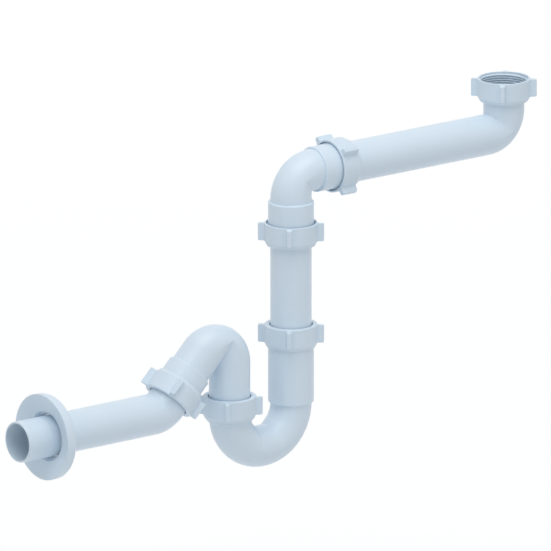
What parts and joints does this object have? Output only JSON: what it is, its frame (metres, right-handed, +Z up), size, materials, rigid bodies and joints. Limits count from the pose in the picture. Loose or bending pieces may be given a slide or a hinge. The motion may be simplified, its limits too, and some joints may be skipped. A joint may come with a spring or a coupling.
{
  "type": "space-saving sink trap",
  "caption": "Sink trap that leaves the cupboard free: waste nut, offset arm, elbow, sliding drop tube, U-bend water seal, swan neck and level outlet with wall rosette.",
  "frame": {"origin": "centre of the inlet washer's upper face, on the inlet nut's axis, where the end of the sink's waste lands", "axes": "+Z up along the inlet nut's thread, -X along the arm towards the wall outlet; every pipe axis lies in the XZ plane"},
  "size_m": [0.6188, 0.084, 0.3391],
  "materials": {
    "white_polypropylene": "satin moulded white with a cool cast",
    "seal_rubber": "moulded black",
    "slip_ring_polyethylene": "matte natural"
  },
  "bodies": {
    "inlet_nut": {"inlet_nut": "white_polypropylene"},
    "inlet_arm": {"inlet_pipe": "white_polypropylene", "inlet_washer": "seal_rubber"},
    "side_seal": {"side_seal": "seal_rubber"},
    "elbow": {"elbow": "white_polypropylene", "upper_seal": "seal_rubber"},
    "drop_tube": {"drop_tube": "white_polypropylene"},
    "lower_seal": {"lower_seal": "seal_rubber"},
    "u_bend": {"u_bend": "white_polypropylene", "swan_seal": "seal_rubber"},
    "swan_neck": {"swan_neck": "white_polypropylene", "outlet_seal": "seal_rubber"},
    "outlet_pipe": {"outlet_pipe": "white_polypropylene"},
    "wall_rosette": {"wall_rosette": "white_polypropylene"},
    "side_slip_ring": {"side_slip_ring": "slip_ring_polyethylene"},
    "side_nut": {"side_nut": "white_polypropylene"},
    "upper_slip_ring": {"upper_slip_ring": "slip_ring_polyethylene"},
    "upper_nut": {"upper_nut": "white_polypropylene"},
    "lower_slip_ring": {"lower_slip_ring": "slip_ring_polyethylene"},
    "lower_nut": {"lower_nut": "white_polypropylene"},
    "swan_slip_ring": {"swan_slip_ring": "slip_ring_polyethylene"},
    "swan_nut": {"swan_nut": "white_polypropylene"},
    "outlet_slip_ring": {"outlet_slip_ring": "slip_ring_polyethylene"},
    "outlet_nut": {"outlet_nut": "white_polypropylene"}
  },
  "joints": [
    {"name": "inlet_swivel", "type": "hinge", "parent": "inlet_nut", "child": "inlet_arm", "pos_m": [0, 0, 0], "axis": [0, 0, 1], "continuous": true},
    {"name": "arm_reach", "type": "slide", "parent": "inlet_arm", "child": "side_seal", "axis": [-1, 0, 0], "range_m": [0, 0.012]},
    {"name": "elbow_roll", "type": "hinge", "parent": "side_seal", "child": "elbow", "pos_m": [-0.2026, 0, -0.0403], "axis": [1, 0, 0], "continuous": true},
    {"name": "drop_swivel", "type": "hinge", "parent": "elbow", "child": "drop_tube", "pos_m": [-0.2616, 0, -0.1015], "axis": [0, 0, 1], "continuous": true},
    {"name": "height_slide", "type": "slide", "parent": "drop_tube", "child": "lower_seal", "axis": [0, 0, 1], "range_m": [-0.015, 0.03]},
    {"name": "trap_swivel", "type": "hinge", "parent": "lower_seal", "child": "u_bend", "pos_m": [-0.2616, 0, -0.1991], "axis": [0, 0, 1], "continuous": true},
    {"name": "swan_swivel", "type": "hinge", "parent": "u_bend", "child": "swan_neck", "pos_m": [-0.3366, 0, -0.2584], "axis": [0, 0, 1], "range_deg": [-110, 110]},
    {"name": "outlet_swivel", "type": "hinge", "parent": "swan_neck", "child": "outlet_pipe", "pos_m": [-0.40526, 0, -0.23556], "axis": [-0.7071, 0, -0.7071], "continuous": true},
    {"name": "rosette_slide", "type": "slide", "parent": "outlet_pipe", "child": "wall_rosette", "axis": [1, 0, 0], "range_m": [-0.02, 0.09]},
    {"name": "side_nut_travel", "type": "slide", "parent": "elbow", "child": "side_slip_ring", "axis": [1, 0, 0], "range_m": [0, 0.0076]},
    {"name": "side_nut_turn", "type": "hinge", "parent": "side_slip_ring", "child": "side_nut", "pos_m": [-0.2026, 0, -0.0403], "axis": [1, 0, 0], "range_deg": [0, 900]},
    {"name": "upper_nut_travel", "type": "slide", "parent": "elbow", "child": "upper_slip_ring", "axis": [0, 0, -1], "range_m": [0, 0.0076]},
    {"name": "upper_nut_turn", "type": "hinge", "parent": "upper_slip_ring", "child": "upper_nut", "pos_m": [-0.2616, 0, -0.1015], "axis": [0, 0, -1], "range_deg": [0, 900]},
    {"name": "lower_nut_travel", "type": "slide", "parent": "u_bend", "child": "lower_slip_ring", "axis": [0, 0, 1], "range_m": [0, 0.0076]},
    {"name": "lower_nut_turn", "type": "hinge", "parent": "lower_slip_ring", "child": "lower_nut", "pos_m": [-0.2616, 0, -0.1991], "axis": [0, 0, 1], "range_deg": [0, 900]},
    {"name": "swan_nut_travel", "type": "slide", "parent": "u_bend", "child": "swan_slip_ring", "axis": [0, 0, 1], "range_m": [0, 0.0076]},
    {"name": "swan_nut_turn", "type": "hinge", "parent": "swan_slip_ring", "child": "swan_nut", "pos_m": [-0.3366, 0, -0.2584], "axis": [0, 0, 1], "range_deg": [0, 900]},
    {"name": "outlet_nut_travel", "type": "slide", "parent": "swan_neck", "child": "outlet_slip_ring", "axis": [-0.7071, 0, -0.7071], "range_m": [0, 0.0061]},
    {"name": "outlet_nut_turn", "type": "hinge", "parent": "outlet_slip_ring", "child": "outlet_nut", "pos_m": [-0.40526, 0, -0.23556], "axis": [-0.7071, 0, -0.7071], "range_deg": [0, 720]}
  ],
  "couplings": [
    {"joint": "side_nut_travel", "follows": "side_nut_turn", "m_per_rad": 0.00047746},
    {"joint": "upper_nut_travel", "follows": "upper_nut_turn", "m_per_rad": 0.00047746},
    {"joint": "lower_nut_travel", "follows": "lower_nut_turn", "m_per_rad": 0.00047746},
    {"joint": "swan_nut_travel", "follows": "swan_nut_turn", "m_per_rad": 0.00047746},
    {"joint": "outlet_nut_travel", "follows": "outlet_nut_turn", "m_per_rad": 0.00047746}
  ]
}
